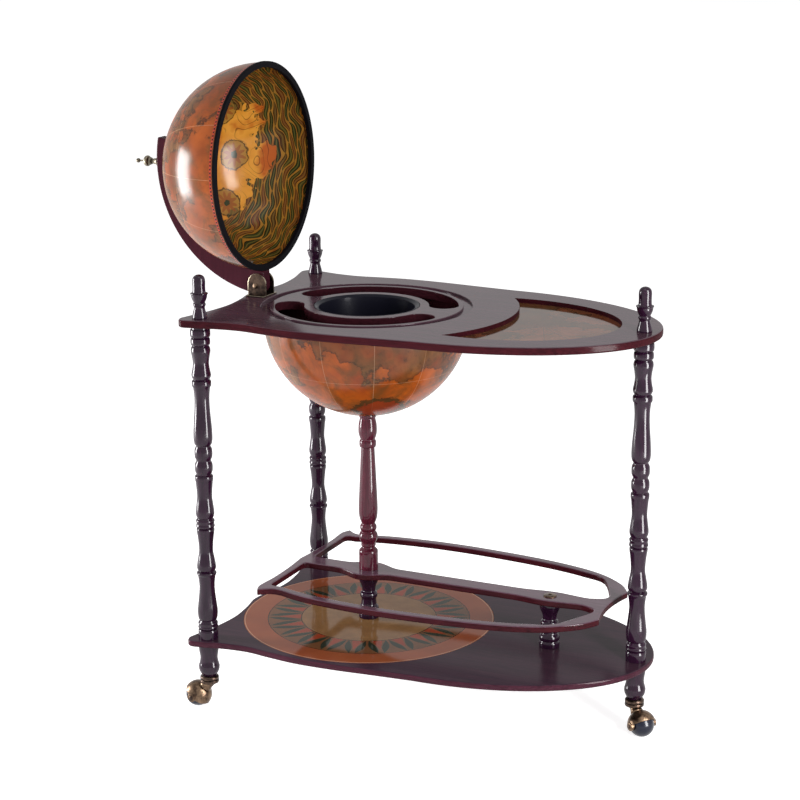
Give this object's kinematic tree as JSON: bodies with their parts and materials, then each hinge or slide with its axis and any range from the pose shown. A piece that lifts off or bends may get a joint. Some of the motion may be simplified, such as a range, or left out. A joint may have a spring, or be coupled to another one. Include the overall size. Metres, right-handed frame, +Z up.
{
  "type": "floor globe bar",
  "caption": "Teardrop drinks table on three turned legs with ball casters, holding an opening globe bar with tray and ice bucket above a bottle rail and lower shelf.",
  "frame": {"origin": "on the floor, below the middle of the whole object's bounding box with the lid open", "axes": "+X along the table from the hinge to the round end, +Y to the back, +Z up"},
  "size_m": [0.9182, 0.4378, 1.0203],
  "materials": {
    "mahogany": "dark mahogany stain under gloss lacquer",
    "red_mahogany": "redder mahogany stain under gloss lacquer",
    "map_print": "printed map paper under lacquer, orange and brown",
    "globe_print": "printed map gores on a moulded shell, varnished",
    "rim_black": "black edge band",
    "antique_brass": "antique brass plate, dark in the hollows",
    "bright_brass": "bright plated brass",
    "steel": "zinc plated",
    "bucket_black": "black moulded plastic",
    "ball_black": "blue-black moulded plastic wheel"
  },
  "bodies": {
    "frame": {"table_top": "mahogany", "table_map_panel": "map_print", "lower_shelf": "mahogany", "shelf_map_disc": "map_print", "bottle_rail": "mahogany", "leg_left_front": "mahogany", "leg_left_back": "mahogany", "leg_right": "mahogany", "finial_left_front": "mahogany", "finial_left_back": "mahogany", "finial_right": "mahogany", "foot_left_front": "mahogany", "foot_left_back": "mahogany", "foot_right": "mahogany", "dowel_screw_upper_left_front": "steel", "dowel_screw_upper_left_back": "steel", "dowel_screw_upper_right": "steel", "dowel_screw_lower_left_front": "steel", "dowel_screw_lower_left_back": "steel", "dowel_screw_lower_right": "steel", "globe_column": "red_mahogany", "column_dowel_screw": "steel", "rail_post_centre": "mahogany", "rail_post_right": "mahogany", "shelf_screw_centre": "steel", "shelf_screw_right": "steel", "rail_bolt": "bright_brass", "globe_bowl": "globe_print", "bowl_washer": "steel", "bowl_screw": "steel", "bottle_tray": "mahogany", "hinge_bracket": "antique_brass", "hinge_pin": "antique_brass", "bracket_screw_1": "antique_brass", "bracket_screw_2": "antique_brass", "caster_socket_left_front": "antique_brass", "caster_socket_left_back": "antique_brass", "caster_socket_right": "antique_brass"},
    "lid": {"lid_shell": "globe_print", "lid_rim_band": "rim_black", "meridian_arm": "mahogany", "arm_screw_1": "steel", "arm_screw_2": "steel", "arm_spacer_1": "antique_brass", "arm_spacer_2": "antique_brass", "pole_spindle": "antique_brass", "pole_spacer": "antique_brass", "pole_flange": "antique_brass", "pole_knob": "antique_brass"},
    "bucket": {"ice_bucket": "bucket_black"},
    "swivel_left_front": {"caster_hood_left_front": "antique_brass", "caster_axle_left_front": "antique_brass"},
    "swivel_left_back": {"caster_hood_left_back": "antique_brass", "caster_axle_left_back": "antique_brass"},
    "swivel_right": {"caster_hood_right": "antique_brass", "caster_axle_right": "antique_brass"},
    "wheel_left_front": {"caster_ball_left_front": "ball_black"},
    "wheel_left_back": {"caster_ball_left_back": "ball_black"},
    "wheel_right": {"caster_ball_right": "ball_black"}
  },
  "joints": [
    {"name": "lid_hinge", "type": "hinge", "parent": "frame", "child": "lid", "pos_m": [-0.23311, 0.00046, 0.6605], "axis": [0, -1, 0], "range_deg": [-91, 0]},
    {"name": "bucket_lift", "type": "slide", "parent": "frame", "child": "bucket", "axis": [0, 0, 1], "range_m": [0, 0.17]},
    {"name": "swivel_left_front_turn", "type": "hinge", "parent": "frame", "child": "swivel_left_front", "pos_m": [-0.23211, -0.19404, 0.043], "axis": [0, 0, 1], "continuous": true},
    {"name": "swivel_left_back_turn", "type": "hinge", "parent": "frame", "child": "swivel_left_back", "pos_m": [-0.23211, 0.19496, 0.043], "axis": [0, 0, 1], "continuous": true},
    {"name": "swivel_right_turn", "type": "hinge", "parent": "frame", "child": "swivel_right", "pos_m": [0.42189, 0.00046, 0.043], "axis": [0, 0, 1], "continuous": true},
    {"name": "wheel_left_front_roll", "type": "hinge", "parent": "swivel_left_front", "child": "wheel_left_front", "pos_m": [-0.25411, -0.19404, 0.01962], "axis": [0, -1, 0], "continuous": true},
    {"name": "wheel_left_back_roll", "type": "hinge", "parent": "swivel_left_back", "child": "wheel_left_back", "pos_m": [-0.25378, 0.19114, 0.01962], "axis": [0.1736, -0.9848, 0], "continuous": true},
    {"name": "wheel_right_roll", "type": "hinge", "parent": "swivel_right", "child": "wheel_right", "pos_m": [0.43922, -0.01309, 0.01962], "axis": [0.6157, 0.788, 0], "continuous": true}
  ]
}
